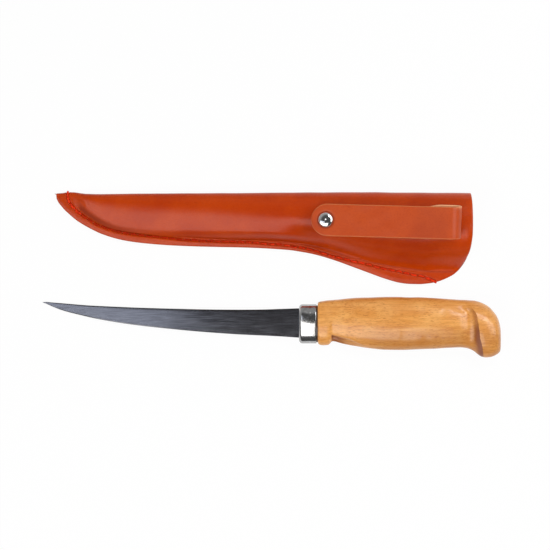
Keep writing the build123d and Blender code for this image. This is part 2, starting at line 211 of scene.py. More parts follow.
class Nodes:
    """Short way to write a material's node tree, on places in mm."""

    def __init__(self, name):
        self.material = bpy.data.materials.new(name)
        self.material.use_nodes = True
        self.tree = self.material.node_tree
        self.shader = self.tree.nodes["Principled BSDF"]
        scale = self.node("VectorMath")
        scale.operation = "SCALE"
        scale.inputs["Scale"].default_value = 1 / MM
        self.link(self.node("TexCoord").outputs["Object"], scale.inputs[0])
        self.mm = scale.outputs[0]

    def link(self, a, b):
        self.tree.links.new(a, b)

    def node(self, kind, **inputs):
        """New node of a kind, with its inputs fed by name."""
        node = self.tree.nodes.new("ShaderNode" + kind)
        for name, value in inputs.items():
            feed(self.tree, node.inputs[name], value)
        return node

    def stretch(self, x, y, z, turn=0.0):
        return self.node("Mapping", Scale=(x, y, z), Rotation=(0, 0, turn), Vector=self.mm).outputs[0]

    def noise(self, scale, detail, rough, where=None, distortion=0.0):
        return self.node("TexNoise", Scale=scale, Detail=detail, Roughness=rough, Distortion=distortion,
                         Vector=where or self.mm).outputs["Fac"]

    def cells(self, scale):
        node = self.node("TexVoronoi", Scale=scale, Vector=self.mm)
        node.feature = "DISTANCE_TO_EDGE"
        return node.outputs["Distance"]

    def span(self, value, low, high, to_low=0.0, to_high=1.0):
        return map_range(self.tree, value, low, high, to_low, to_high)

    def calc(self, a, b, how="ADD"):
        node = self.node("Math")
        node.operation = how
        feed(self.tree, node.inputs[0], a)
        feed(self.tree, node.inputs[1], b)
        return node.outputs[0]

    def mix(self, factor, a, b):
        node = self.node("Mix")
        node.data_type = "RGBA"
        for name, value in (("Factor", factor), ("A", a), ("B", b)):
            feed(self.tree, node.inputs[name], value)
        return node.outputs["Result"]

    def value(self, name):
        node = self.node("Attribute")
        node.attribute_name = name
        return node.outputs["Fac"]

    def bump(self, height, distance, strength, normal=None):
        node = self.node("Bump", Strength=strength, Distance=distance * MM, Height=height)
        if normal is not None:
            self.link(normal, node.inputs["Normal"])
        return node.outputs["Normal"]

    def set(self, **values):
        """Feeds the shader's inputs, each under a short name."""
        names = {"color": "Base Color", "rough": "Roughness", "metal": "Metallic", "normal": "Normal",
                 "coat": "Coat Weight", "coat_rough": "Coat Roughness", "spec": "Specular IOR Level"}
        for key, value in values.items():
            feed(self.tree, self.shader.inputs[names[key]], value)
        return self.material


def srgb(r, g, b):
    def one(c):
        c = c / 255
        return c / 12.92 if c <= 0.04045 else ((c + 0.055) / 1.055) ** 2.4
    return (one(r), one(g), one(b), 1.0)


def leather_material(name, base, dark, tan, rough, spec):
    n = Nodes(name)
    broad = n.noise(0.04, 3, 0.6)
    blotch = n.noise(0.3, 4, 0.6)
    grit = n.noise(1.1, 3, 0.65)
    fine = n.noise(4.0, 3, 0.6)
    pores = n.cells(1.7)
    color = n.mix(n.span(broad, 0.35, 0.7), base, dark)
    color = n.mix(n.span(blotch, 0.42, 0.8, 0.0, 0.35), color, dark)
    color = n.mix(n.span(grit, 0.45, 0.75, 0.0, 0.3), color, srgb(150, 38, 2))
    color = n.mix(n.span(fine, 0.5, 0.85, 0.0, 0.2), color, srgb(140, 36, 4))
    # painted shade: darker where the mesh's shade value is high, on the sheath's steep wall, crease, seam
    # groove, stitch holes and inside, and on the strap round the snap cap and near its ends
    color = n.mix(n.span(n.value("painted_shade"), 0.0, 1.0, 0.0, 0.85), color, srgb(92, 20, 3))
    fibre = n.noise(3.2, 4, 0.7, n.stretch(1.0, 1.0, 3.0))
    edge_color = n.mix(n.span(fibre, 0.3, 0.7), tan, srgb(176, 84, 36))
    edge = n.span(n.calc(n.value("edge"), n.span(fine, 0.3, 0.7, -0.12, 0.12)), 0.45, 0.85)
    color = n.mix(edge, color, edge_color)
    # painted light: the back leaf's raw edge that peeks past the front leaf is lifted towards a pale tan
    color = n.mix(n.value("painted_light"), color, srgb(255, 196, 144))
    grain = n.calc(n.span(pores, 0.0, 0.16), n.span(fine, 0.2, 0.8, 0.0, 0.5))
    normal = n.bump(grain, 0.02, 0.3)
    normal = n.bump(grit, 0.045, 0.55, normal)
    normal = n.bump(blotch, 0.16, 0.2, normal)
    rough = n.calc(n.span(fine, 0.3, 0.7, rough - 0.03, rough + 0.04), n.span(edge, 0.0, 1.0, 0.0, 0.3))
    rough = n.calc(rough, n.span(n.value("painted_shade"), 0.1, 0.6, 0.0, 0.35))
    return n.set(color=color, rough=rough, normal=normal, spec=spec)


def thread_material():
    n = Nodes("thread_red")
    fuzz = n.noise(6.0, 4, 0.7)
    worn = n.noise(0.8, 3, 0.65)
    color = n.mix(n.value("tone"), srgb(178, 38, 8), srgb(248, 64, 26))
    color = n.mix(n.span(worn, 0.44, 0.64, 0.0, 0.7), color, srgb(158, 30, 6))
    color = n.mix(n.span(fuzz, 0.4, 0.8, 0.0, 0.35), color, srgb(170, 22, 3))
    # painted shade: each stitch turns darker where it dips into its holes
    color = n.mix(n.span(n.value("deep"), 0.4, 1.0, 0.0, 0.6), color, srgb(110, 16, 3))
    return n.set(color=color, rough=0.6, normal=n.bump(fuzz, 0.12, 0.5), spec=0.06)


def wood_material():
    n = Nodes("handle_wood")
    growth = n.noise(0.3, 3, 0.55, n.stretch(0.12, 1.0, 1.0), 0.8)
    streak = n.noise(1.1, 4, 0.65, n.stretch(0.05, 1.0, 1.0, 0.03))
    fleck = n.noise(1.9, 2, 0.55, n.stretch(0.2, 1.0, 1.0, 0.05))
    pore = n.noise(3.4, 1, 0.5, n.stretch(0.13, 1.0, 1.0, 0.04))
    cloud = n.noise(0.07, 3, 0.6)
    cluster = n.noise(0.16, 2, 0.5, n.stretch(0.5, 1.0, 1.0))
    color = n.mix(n.span(growth, 0.3, 0.7), srgb(238, 170, 90), srgb(222, 148, 68))
    color = n.mix(n.span(streak, 0.42, 0.72, 0.0, 0.65), color, srgb(200, 124, 48))
    color = n.mix(n.span(cloud, 0.4, 0.75, 0.0, 0.4), color, srgb(246, 188, 114))
    flecks = n.calc(n.span(fleck, 0.54, 0.66, 0.0, 0.7), n.span(cluster, 0.35, 0.6, 0.25, 1.0), "MULTIPLY")
    color = n.mix(flecks, color, srgb(182, 104, 34))
    color = n.mix(n.span(pore, 0.62, 0.72, 0.0, 0.4), color, srgb(170, 94, 34))
    # painted shade: darker in the crease before the butt, on the lower side, in the notch and along the
    # collar's front, and nearly black on the tenon in the ferrule's gap
    color = n.mix(n.span(n.value("painted_shade"), 0.0, 0.9, 0.0, 0.9), color, srgb(128, 56, 8))
    color = n.mix(n.span(n.value("painted_shade"), 0.9, 1.0), color, srgb(40, 18, 8))
    height = n.calc(streak, n.span(fleck, 0.56, 0.68, 0.0, -0.6))
    rough = n.span(streak, 0.3, 0.7, 0.28, 0.4)
    return n.set(color=color, rough=rough, normal=n.bump(height, 0.04, 0.5), coat=0.35,
                 coat_rough=0.12, spec=0.4)


def blade_material():
    n = Nodes("blade_steel")
    fine = n.noise(9.0, 3, 0.7, n.stretch(0.01, 1.0, 1.0))
    lines = n.noise(1.9, 3, 0.7, n.stretch(0.009, 1.0, 1.0))
    color = n.mix(n.span(lines, 0.36, 0.64), srgb(113, 113, 118), srgb(137, 138, 145))
    color = n.mix(n.value("edge"), color, srgb(104, 105, 109))
    rough = n.calc(n.span(lines, 0.3, 0.7, 0.11, 0.16), n.span(n.value("edge"), 0.0, 1.0, 0.0, 0.16))
    return n.set(color=color, metal=1.0, rough=rough, normal=n.bump(fine, 0.0006, 0.3))


def metal_material(name, light, rough, scratch=0.25):
    n = Nodes(name)
    marks = n.noise(5.0, 3, 0.7, n.stretch(1.0, 0.1, 0.4, 0.4))
    cloud = n.noise(0.6, 3, 0.5)
    dull = srgb(light - 16, light - 17, light - 18)
    color = n.mix(n.span(cloud, 0.3, 0.7), srgb(light, light, light), dull)
    roughness = n.calc(rough, n.span(marks, 0.5, 0.8, 0.0, 0.08))
    return n.set(color=color, metal=1.0, rough=roughness, normal=n.bump(marks, 0.0015, scratch))


def resin_material():
    n = Nodes("bedding_resin")
    cloud = n.noise(0.8, 4, 0.6)
    color = n.mix(cloud, srgb(190, 170, 128), srgb(150, 128, 92))
    return n.set(color=color, rough=n.span(cloud, 0.3, 0.7, 0.4, 0.6), normal=n.bump(cloud, 0.2, 0.4))


sheath_mat = leather_material("leather_sheath", srgb(194, 65, 2), srgb(182, 55, 1), srgb(200, 96, 44),
                              rough=0.28, spec=0.23)
strap_mat = leather_material("leather_strap", srgb(194, 74, 16), srgb(184, 66, 12), srgb(222, 122, 68),
                             rough=0.4, spec=0.34)
thread_mat = thread_material()
wood_mat = wood_material()
steel_mat = blade_material()
ferrule_mat = metal_material("ferrule_polish", 190, 0.14, 0.15)
plate_mat = metal_material("snap_plating", 226, 0.04, 0.1)
spring_mat = metal_material("spring_steel", 180, 0.22)
resin_mat = resin_material()

# Sheath: the solid's outline and seam, with a bulge of its own. Plan in pixels, heights as shares of the
# pocket's height, and the leather's thickness, the pocket's height and the stitches' pitch in mm

LEATHER = 2.0
POCKET = 20.4
STITCH_PITCH = 4.5
LOWER_EDGE = [(55.7, 193.4), (56.0, 198), (57.0, 200.5), (58, 202.4), (60, 205.0), (62, 207.4), (64, 209.7),
              (68, 213.4), (72, 217), (76, 220.2), (80, 222.9), (90, 228.6), (100, 233.4), (110, 236.9),
              (120, 239.6), (133.6, 242), (150, 243.8), (170, 245.3), (190, 246.2), (210, 246.8),
              (240, 247.4), (260, 248.1), (280, 249.3), (290, 250.1), (300, 251.6), (310, 253.4),
              (320, 255.8), (330, 258.8), (340, 262.1), (350, 265.8), (360, 269.5), (370, 273.2),
              (380, 276.9), (390, 280.2), (400, 282.8), (410, 284.0), (420, 284.2), (430, 283.3),
              (436, 282.3), (440, 281.4)]
MOUTH_EDGE = [(192.5, 470.7), (193.1, 470.8), (205, 471.8), (220, 472.1), (234, 471.9), (242, 471.2),
              (250, 470.0), (258, 467.2), (266, 462.4), (274, 454.7), (278, 447.6), (280.4, 442),
              (282.3, 436)]
# Pocket side of the sheath: x, fold, crest, knee and valley y in pixels, share of the pocket height
BULGE = [(56, 193.2, 195.5, 197.4, 199.0, 0.0), (62, 192.8, 195.8, 198.0, 200.0, 0.0),
         (66, 192.3, 195.9, 197.6, 199.5, 0.0), (70, 192.1, 196.0, 197.9, 200.4, 0.0),
         (73, 192.1, 196.2, 198.8, 203.4, 0.008), (76, 192.4, 196.6, 200.0, 206.4, 0.035),
         (80, 193.0, 197.2, 203.0, 210.4, 0.09), (86, 193.6, 198.6, 208.2, 215.6, 0.15),
         (98, 193.9, 201.0, 216.6, 223.6, 0.19), (107, 193.8, 202.0, 221.4, 227.8, 0.205),
         (115, 193.7, 203.0, 224.4, 230.4, 0.215), (135, 193.5, 204.5, 228.2, 234.2, 0.235),
         (170, 193.2, 206.5, 229.4, 236.9, 0.28), (220, 193, 209.4, 230.2, 239.2, 0.385),
         (268, 192.6, 214.0, 232.0, 241.4, 0.515), (314, 192.3, 219.3, 240.0, 246.2, 0.645),
         (360, 192.1, 221.1, 252, 260, 0.749), (400, 192.5, 222.2, 260, 267.5, 0.84),
         (440, 192.8, 223.4, 264, 272, 0.93), (482, 193, 224.6, 265, 273, 1.025)]
SEAM = [(67.3, 191.9), (67.2, 196), (69, 202), (73.6, 208), (82.5, 215), (92, 221.8), (107, 228.7),
        (125, 233), (152, 236.3), (187, 239.8), (214, 241.2), (250, 242.4), (277, 244.4),
        (307, 248.6), (330, 255.2), (352, 260.9), (371, 265.4), (389, 269.4), (405, 273),
        (422.5, 276.6), (430, 279.0), (435.8, 282.3)]
seam_path = spline([(wx(x) / MM, wy(y) / MM) for x, y in SEAM], 1200)
seam_length = np.linalg.norm(np.diff(seam_path, axis=0), axis=1).sum()
stitch_count = int(seam_length / STITCH_PITCH)


def seam_point(share):
    at = np.clip(np.asarray(share, float), 0, 1) * (len(seam_path) - 1)
    grid = np.arange(len(seam_path))
    return np.stack([np.interp(at, grid, seam_path[:, c]) for c in (0, 1)], -1)


stitch_holes = seam_point((np.arange(stitch_count) + 0.5) / stitch_count)


def bezier(points, count):
    """Points on a cubic, evenly spaced in its parameter, without its first."""
    p = np.array(points, float)
    t = np.linspace(0, 1, count + 1)[:, None]
    curve = (1 - t)**3 * p[0] + 3 * (1 - t)**2 * t * p[1] + 3 * (1 - t) * t**2 * p[2] + t**3 * p[3]
    return curve[1:]


def lean(count):
    """Numbers from 0 to 1, closer together near both ends."""
    return (1 - np.cos(np.pi * np.linspace(0, 1, count))) / 2


ROWS_FLANGE, ROWS_WALL, ROWS_SLOPE, ROWS_ROOF, ROWS_UNDER, ROWS_BACK = 32, 20, 26, 26, 16, 36
ROWS_FLANK = ROWS_WALL + ROWS_SLOPE
ROWS_FRONT = ROWS_FLANGE + ROWS_FLANK + ROWS_ROOF
ROWS_TOE = ROWS_FRONT + ROWS_UNDER
SLOPE = math.radians(18.5)
ROUND = 0.63
TOE_SHARE = 0.62
KNEE_SHARE = 0.62
MOUTH_START, MOUTH_REACH = 436.0, 471.6


def sheath_section(x, edge_y):
    """Outside of the sheath at a pixel column, in y and z in mm.

    It runs from the front leaf's edge over the bulge and round the fold to the back leaf's edge.
    """
    fold, crest, knee, valley, share = (float(smooth(BULGE, c, x)) for c in (1, 2, 3, 4, 5))
    span = edge_y - fold
    crest, knee = min(crest, fold + 0.4 * span), min(knee, fold + 0.7 * span)
    valley = min(valley, fold + 0.86 * span)
    fold_y, crest_y, knee_y, valley_y, end_y = (
        float(wy(v)) / MM for v in (fold, crest, knee, valley, edge_y))
    seam, height = 2 * LEATHER, 2 * LEATHER + POCKET * share
    middle = height / 2
    toe_y = max(fold_y - height * TOE_SHARE, end_y + 0.35 * (fold_y - end_y))
    climb = math.tan(SLOPE * min(1.0, share / 0.13))
    run, slope_run, wall_run = crest_y - valley_y, crest_y - knee_y, knee_y - valley_y
    knee_z = max(height - slope_run * climb * KNEE_SHARE, seam)
    rise = knee_z - seam
    flange = np.stack([end_y + (valley_y - end_y) * lean(ROWS_FLANGE), np.full(ROWS_FLANGE, seam)], 1)
    wall = bezier([(valley_y, seam), (valley_y + 0.2 * wall_run, seam + 0.32 * rise),
                   (knee_y - 0.45 * wall_run, knee_z - 0.45 * wall_run * climb),
                   (knee_y, knee_z)], ROWS_WALL)
    slope = bezier([(knee_y, knee_z), (knee_y + 0.45 * slope_run, knee_z + 0.45 * slope_run * climb),
                    (crest_y - 0.25 * slope_run, height), (crest_y, height)], ROWS_SLOPE)
    full = bezier([(valley_y, seam), (valley_y + run * 0.2, seam + run * 0.08),
                   (crest_y - run * 0.64, height), (crest_y, height)], ROWS_FLANK)
    weight = float(smooth([(255, 0), (275, 0.1), (310, 0.8), (330, 1)], 1, x))
    flank = np.concatenate([wall, slope]) * (1 - weight) + full * weight
    roof = bezier([(crest_y, height), (crest_y + ROUND * (fold_y - crest_y), height),
                   (fold_y, middle + ROUND * (height - middle)), (fold_y, middle)], ROWS_ROOF)
    under = bezier([(fold_y, middle), (fold_y, middle * (1 - ROUND)),
                    (toe_y + ROUND * (fold_y - toe_y), 0), (toe_y, 0)], ROWS_UNDER)
    back_y = toe_y + (end_y - toe_y) * lean(ROWS_BACK + 1)[1:]
    return np.concatenate([flange, flank, roof, under, np.stack([back_y, np.zeros(ROWS_BACK)], 1)])


def sheath_columns():
    """Where the sections lie: pixel column and how far each has turned into the mouth's edge."""
    columns = [(55.72 + 20 * t**1.8, 0.0) for t in np.linspace(0, 1, 46)]
    columns += [(x, 0.0) for x in np.linspace(76.2, MOUTH_START, 600)]
    columns += [(MOUTH_START, t) for t in 1 - (1 - np.linspace(0, 1, 66)[1:])**1.6]
    return columns


def sheath_surfaces():
    """Outside and inside of the sheath as grids of columns and rows, in mm."""
    outer, inner = [], []
    for x, turn in sheath_columns():
        section = sheath_section(x + turn * (MOUTH_REACH - x), float(smooth(LOWER_EDGE, 1, x)))
        mouth = smooth(MOUTH_EDGE, 1, y_px(section[:, 0]))
        across = wx(x + turn * (mouth - x)) / MM
        ahead = unit(np.gradient(section, axis=0))
        within = section + np.stack([ahead[:, 1], -ahead[:, 0]], 1) * LEATHER
        within[:ROWS_FRONT, 1] = np.maximum(within[:ROWS_FRONT, 1], LEATHER + 0.1)
        middle = max(section[ROWS_FRONT - 1, 1], LEATHER)
        within[ROWS_FRONT:ROWS_TOE, 1] = np.minimum(within[ROWS_FRONT:ROWS_TOE, 1], middle)
        within[ROWS_TOE:, 1] = np.minimum(within[ROWS_TOE:, 1], LEATHER)
        within[:, 0] = np.maximum(within[:, 0], section[0, 0])
        outer.append(np.column_stack([across, section]))
        inner.append(np.column_stack([across, within]))
    return np.array(outer), np.array(inner)


def grid_normals(grid):
    return unit(np.cross(np.gradient(grid, axis=0), np.gradient(grid, axis=1)))


def nearest(points, targets):
    """How far each point lies from the nearest target in the plan."""
    tree = kdtree.KDTree(len(targets))
    for i, p in enumerate(targets):
        tree.insert((p[0], p[1], 0), i)
    tree.balance()
    return np.array([tree.find((p[0], p[1], 0))[2] for p in points])


def waves(points, scale, seed):
    """Smooth random height over the plan, about -1 to 1."""
    local = np.random.default_rng(seed)
    count = 24
    total = np.zeros(len(points))
    for _ in range(count):
        angle = local.uniform(0, 2 * np.pi)
        pace = local.uniform(0.5, 1.6) / scale
        total += np.sin(2 * np.pi * pace * (points[:, 0] * np.cos(angle) + points[:, 1] * np.sin(angle))
                        + local.uniform(0, 2 * np.pi))
    return total / math.sqrt(count)


def edge_distance(outer):
    """How far each point of the sheath's outside lies from the leather's edges in the plan."""
    plan = outer[:, :, :2]
    turned = np.array([turn for _, turn in sheath_columns()])[:, None]
    mouth = np.where(turned > 0, np.linalg.norm(plan - plan[-1:], axis=2), 99.0)
    gap = np.minimum(np.linalg.norm(plan - plan[:, :1], axis=2), mouth)
    return np.minimum(gap, np.linalg.norm(plan - plan[:1], axis=2))


def sheath_sink(outer, edge_gap, seam_gap, hole_gap, front, on_back):
    """How far the skin lies under its plain outside: round edges, the seam's groove and holes, ripples."""
    radius = 0.7
    sink = radius * (1 - np.sqrt(1 - np.clip(1 - edge_gap / radius, 0, 1)**2))
    sink = sink + 0.55 * np.clip(1 - edge_gap / 3.6, 0, 1)**2 * front
    groove = 0.34 * np.exp(-(seam_gap / 0.7)**4) + 0.45 * np.exp(-(hole_gap / 0.45)**2)
    pucker = -0.06 * np.exp(-((seam_gap - 1.3) / 0.5)**2) * (1 - 0.55 * np.exp(-(hole_gap / 1.3)**2))
    sink = sink + np.where(on_back, 0.55 * np.exp(-(seam_gap / 0.7)**4), groove + pucker)
    flat = outer.reshape(-1, 3)
    ripple = waves(flat, 18.0, 3) * 0.04 + waves(flat, 5.0, 4) * 0.008
    return sink + np.where(on_back, 0, ripple.reshape(sink.shape))


def shell_faces(columns, rows):
    """Faces of a sheet with an outside and an inside grid, joined round its four sides."""
    size, last, end = columns * rows, rows - 1, (columns - 1) * rows
    faces = grid_faces(columns, rows) + grid_faces(columns, rows, start=size, flip=True)
    steps = [i * rows for i in range(columns - 1)]
    faces += [(i + size, i, i + rows, i + rows + size) for i in steps]
    faces += [(i + rows + last + size, i + rows + last, i + last, i + last + size) for i in steps]
    faces += [(end + j, end + j + 1, end + j + 1 + size, end + j + size) for j in range(last)]
    faces += [(j + size, j + 1 + size, j + 1, j) for j in range(last)]
    return faces


def side_sign(grid, normal):
    """Which way the grid's normals point, so that sinking goes into the leather."""
    middle = len(grid) // 2
    top = int(np.argmax(grid[middle, :, 2]))
    return -1.0 if normal[middle, top, 2] > 0 else 1.0


def close_faces(obj):
    """Makes the face normals point out and joins points that lie on each other."""
    bm = bmesh.new()
    bm.from_mesh(obj.data)
    bmesh.ops.remove_doubles(bm, verts=bm.verts, dist=2e-6)
    bmesh.ops.recalc_face_normals(bm, faces=bm.faces)
    bm.to_mesh(obj.data)
    bm.free()


def build_sheath():
    outer, inner = sheath_surfaces()
    columns, rows = outer.shape[:2]
    plan = outer.reshape(-1, 3)[:, :2]
    seam_gap = nearest(plan, seam_path).reshape(columns, rows)
    hole_gap = nearest(plan, stitch_holes).reshape(columns, rows)
    edge_gap = edge_distance(outer)
    row_of = np.arange(rows)[None, :].repeat(columns, 0)
    front = row_of < ROWS_FLANGE + ROWS_FLANK
    on_back = row_of >= ROWS_FRONT
    where = x_px(outer[:, :1, 0])
    share = np.clip(smooth(BULGE, 5, where) / 0.1, 0, 1)
    valley_y = wy(smooth(BULGE, 4, where)) / MM
    crease = np.exp(-((outer[:, :, 1] - valley_y) / 0.7)**2) * front * (seam_gap > 1.6) * share
    sink = sheath_sink(outer, edge_gap, seam_gap, hole_gap, front, on_back) + 0.12 * crease
    normal = grid_normals(outer)
    skin = outer + normal * sink[:, :, None] * side_sign(outer, normal)
    skin[:, :, 2] = np.where(on_back, np.maximum(skin[:, :, 2], 0), skin[:, :, 2])
    verts = np.concatenate([skin.reshape(-1, 3), inner.reshape(-1, 3)])
    obj = mesh_object("sheath_skin", verts * MM, shell_faces(columns, rows), sheath_mat)
    edge, rim = np.exp(-(edge_gap / 0.34)**2), np.zeros((columns, rows))
    rim[-2:] = rim[:, :1] = rim[:, -1:] = 1
    point_values(obj, "edge", np.concatenate([edge.ravel(), rim.ravel()]))
    # painted shade: the steep wall near the point and the crease at the bulge's foot are darkened, and so
    # are the seam groove and stitch holes, with the whole inside at half strength
    rise = np.clip((row_of - ROWS_FLANGE + 3) / (ROWS_WALL + 5), 0, 1)
    depth = np.interp(where, [72, 80, 100, 150, 268, 330], [0, 1, 1, 0.5, 0.4, 0])
    wall = np.sin(np.pi * rise)**0.8 * share * depth
    painted_shade = np.clip(0.3 * np.exp(-(hole_gap / 0.5)**2) + 0.15 * np.exp(-(seam_gap / 0.8)**2)
                    + 0.6 * wall + 0.35 * crease, 0, 1)
    point_values(obj, "painted_shade", np.concatenate([painted_shade.ravel(), np.full(painted_shade.size, 0.5)]))
    close_faces(obj)
    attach(obj, "sheath")
    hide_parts("sheath_leather")


# Seam threads
THREAD_TOP = 2 * LEATHER + 0.05
THREAD_SIDES = 14
TWIST, PLY = 3.4, 0.07
FIBRES = 150


def stitch_tubes(front):
    """One short twisted tube for each stitch, dipping into its two holes.

    Gives the tubes' points and faces, and how deep in its hole and how bright each point is.
    """
    rings, faces, deep, tone = [], [], [], []
    rows = 22
    t = np.linspace(0, 1, rows)
    lift = ease(np.minimum(t, 1 - t) / 0.2)
    for i in range(stitch_count - 1):
        a, b = stitch_holes[i], stitch_holes[i + 1]
        bright = float(np.interp(x_px(a[0]), [74, 84, 200, 290], [1, 0, 0.15, 1])) * rng.uniform(0.6, 1.0)
        shift = rng.normal(0, 0.2, 2)
        z, thick = 0.5 + 0.9 * (1 - lift), 0.42
        if front:
            z = THREAD_TOP + 0.32 * np.sin(np.pi * t) * rng.uniform(0.7, 1.2) - 1.15 * (1 - lift)
            thick = 0.42 + 0.1 * bright + 0.14 * (i < 3)
        inset = 0.16 * (b - a)
        xy = seam_point((i + 0.5 + t) / stitch_count) + (1 - 2 * t)[:, None] * inset * (1 - lift)[:, None]
        xy = xy + shift * np.sin(np.pi * t)[:, None]
        sway, phase = rng.normal(0, 0.1, 2), rng.uniform(0, 6)
        xy = xy + (sway * np.sin(3 * np.pi * t + phase)[:, None]) * lift[:, None]
        radius = thick * (1 + rng.normal(0, 0.06)) * (1 + 0.06 * np.sin(9 * t + i))
        faces += tube_faces(rows, THREAD_SIDES, i * rows * THREAD_SIDES)
        rings.append(tube(np.column_stack([xy, z]), radius, THREAD_SIDES, TWIST, PLY, squash=0.9))
        deep.append(np.repeat(1 - lift, THREAD_SIDES))
        tone.append(np.full(rows * THREAD_SIDES, bright))
    return rings, faces, deep, tone


def loose_fibres(count, start):
    """Short stray fibres that stand off the front stitches."""
    rings, faces = [], []
    rows = sides = 6
    t = np.linspace(0, 1, rows)
    for _ in range(count):
        share = rng.uniform(0.02, 0.99)
        foot = seam_point(share) + rng.normal(0, 0.2, 2)
        angle = rng.uniform(0, 2 * np.pi)
        turn = rng.normal(0, 0.7)
        reach = rng.uniform(0.7, 1.6) * t
        z = 2 * LEATHER + 0.35 + rng.uniform(0.1, 0.45) * np.sin(np.pi * t)
        path = np.column_stack([foot[0] + reach * np.cos(angle + turn * t),
                                foot[1] + reach * np.sin(angle + turn * t), z])
        faces += tube_faces(rows, sides, start)
        rings.append(tube(path, 0.11 * (1 - 0.6 * t), sides))
        start += rows * sides
    return rings, faces


def turn_path(share, inward, out):
    """Thread that wraps over the edge of the leather at one end of the seam."""
    end, inside = seam_point(share), seam_point(inward)
    ahead = (end - inside) / np.linalg.norm(end - inside)
    near, past, back = end - ahead * 0.7, end + ahead * out, 0.62
    stops = [(inside, THREAD_TOP - 0.8), (inside + ahead * 0.4, THREAD_TOP + 0.15),
             (near, THREAD_TOP + 0.2), (past, THREAD_TOP - 0.9), (past, back + 0.9), (near, back),
             (inside, back + 0.3)]
    return spline([(*place, z) for place, z in stops], 40)


def front_extras(start):
    """Turns over both ends of the front seam, and its stray fibres: points, faces and brightness."""
    rings, faces, tone = [], [], []
    ends = [(0.0, 0.5 / stitch_count, 0.6, 0.05), (0.0, 0.35 / stitch_count, 0.45, 0.0),
            (1.0, 1 - 0.5 / stitch_count, 0.6, 0.05), (0.992, 1 - 1.1 / stitch_count, 0.58, -0.15)]
    for share, inward, radius, out in ends:
        path = turn_path(share, inward, out)
        ring = tube(path, np.full(len(path), radius), THREAD_SIDES, TWIST, PLY)
        faces += grid_faces(len(path), THREAD_SIDES, closed=True, start=start)
        rings.append(ring)
        tone.append(np.ones(len(ring)))
        start += len(ring)
    strays, stray_faces = loose_fibres(FIBRES, start)
    tone += [np.full(len(ring), 0.9) for ring in strays]
    return rings + strays, faces + stray_faces, tone


def build_threads():
    for front in (True, False):
        rings, faces, deep, tone = stitch_tubes(front)
        if front:
            more, more_faces, more_tone = front_extras(sum(len(ring) for ring in rings))
            deep += [np.zeros(len(ring)) for ring in more]
            rings, faces, tone = rings + more, faces + more_faces, tone + more_tone
        name = "seam_thread_front_stitches" if front else "seam_thread_back_stitches"
        verts = np.concatenate(rings)
        verts[:, 2] = np.maximum(verts[:, 2], 0.06)
        obj = mesh_object(name, verts * MM, faces, thread_mat)
        point_values(obj, "deep", np.concatenate(deep))
        point_values(obj, "tone", np.concatenate(tone))
        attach(obj, "sheath")
        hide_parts("seam_thread_front" if front else "seam_thread_back")


# Belt loop, in its own frame and in mm: x from the snap to the fold, z away from the sheath
snap_origin = np.array([0.0325397, 0.0319451, 0.0177345])
loop_x = np.array([0.996549, -0.028896, 0.077812])
loop_y = np.array([0.028984, 0.99958, 0.0])
loop_z = np.array([-0.07778, 0.002255, 0.996968])
# The fold's middle and outer radius, and the undersides of the front leaf and of the back leaf
FOLD_X, FOLD_Z, FOLD_OUT = 73.962, 6.1, 5.8
FRONT_Z, BACK_Z = 6.0, 0.3
# The strap's thickness, half width and corners, its reach past the snap, and its flat length there
STRAP, HALF, CORNER, REACH, FLAT = 2.0, 9.5, 0.55, 8.6, 9.0
# Where the fold's piece starts, and how far the back leaf shows past the front one
JOIN, ASIDE = 68.0, 1.3


def to_row(points):
    p = np.asarray(points, float) * MM
    return snap_origin + p[..., :1] * loop_x + p[..., 1:2] * loop_y + p[..., 2:3] * loop_z


def strap_ring(width, thick):
    """Rounded rectangle across the strap, in y and z, and how near its side each point is."""
    corner = min(CORNER, width * 0.9, thick * 0.48)
    points, near = [], []
    across = np.linspace(-1, 1, 34)
    across = np.sign(across) * (1 - (1 - abs(across))**1.35)
    for side in (1, -1):
        for y in across[::side]:
            points.append((y * (width - corner), side * thick / 2))
            near.append(width - abs(points[-1][0]))
        for turn in side * np.linspace(90, -90, 11)[1:-1]:
            angle = math.radians(turn)
            points.append((side * (width - corner + corner * math.cos(angle)),
                           (thick / 2 - corner) * np.sign(turn) + corner * math.sin(angle)))
            near.append(0.0)
    return np.array(points), np.array(near)


def strap_end(run):
    """Half width and thickness of the strap's round end, at a length from its tip."""
    width, thick = max(math.sqrt(max(HALF**2 - (HALF - run)**2, 0)), 0.25), STRAP
    if run < CORNER:
        thick = STRAP - 2 * (CORNER - math.sqrt(max(CORNER**2 - (CORNER - run)**2, 0)))
    return width, thick


def strap_shade(x):
    """How much painted shade deepens the strap's colour along it, from 0 to 1."""
    return 0.13 * (1 - ease(x / 20)) + 0.22 * ease((x - 44) / 14) * (1 - ease((x - 70) / 6))


